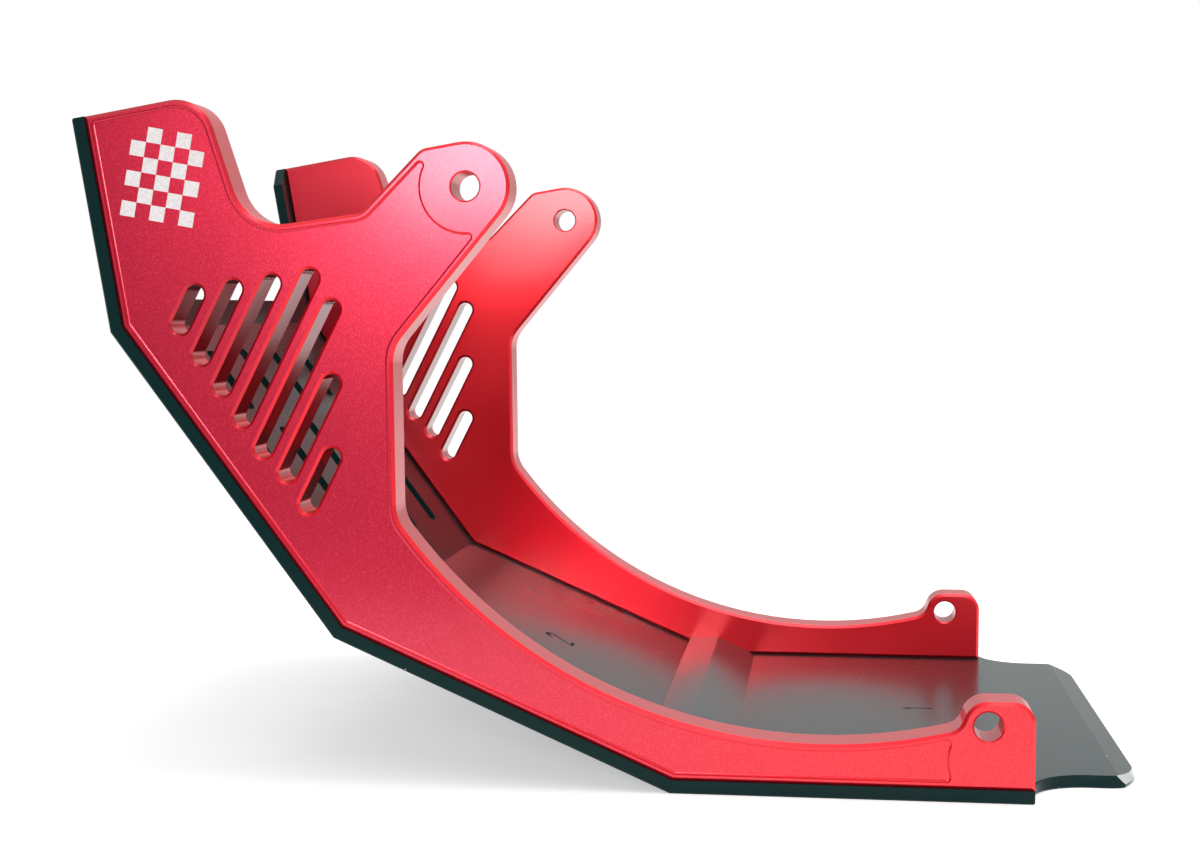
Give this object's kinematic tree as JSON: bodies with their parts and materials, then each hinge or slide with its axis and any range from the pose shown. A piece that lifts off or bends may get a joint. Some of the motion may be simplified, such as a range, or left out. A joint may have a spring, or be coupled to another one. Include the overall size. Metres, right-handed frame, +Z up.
{
  "type": "motorcycle skid plate",
  "caption": "Motorcycle skid plate of thick pocketed side plates and flat skid plates that wrap under and in front of the engine.",
  "frame": {"origin": "middle of the front bolt axis, between the two upper ears", "axes": "+X towards the rear wheel, +Y towards the rider's right, along the bolt axes, +Z up, with skid plate 1 level"},
  "size_m": [0.3225, 0.235, 0.2063],
  "materials": {
    "side_plates": "red anodised, bead blasted pockets",
    "skid_plates": "satin black anodised",
    "screws": "black oxide"
  },
  "bodies": {
    "root": {"left_side_plate": "side_plates", "right_side_plate": "side_plates", "skid_plate_1": "skid_plates", "skid_plate_2": "skid_plates", "skid_plate_3": "skid_plates", "skid_plate_4": "skid_plates", "joint_bar": "skid_plates", "left_screws_plate_1": "screws", "right_screws_plate_1": "screws", "left_screws_plate_2": "screws", "right_screws_plate_2": "screws", "left_screws_plate_3": "screws", "right_screws_plate_3": "screws", "left_screws_plate_4": "screws", "right_screws_plate_4": "screws", "bar_screws_plate_1": "screws", "bar_screws_plate_2": "screws"}
  },
  "joints": []
}
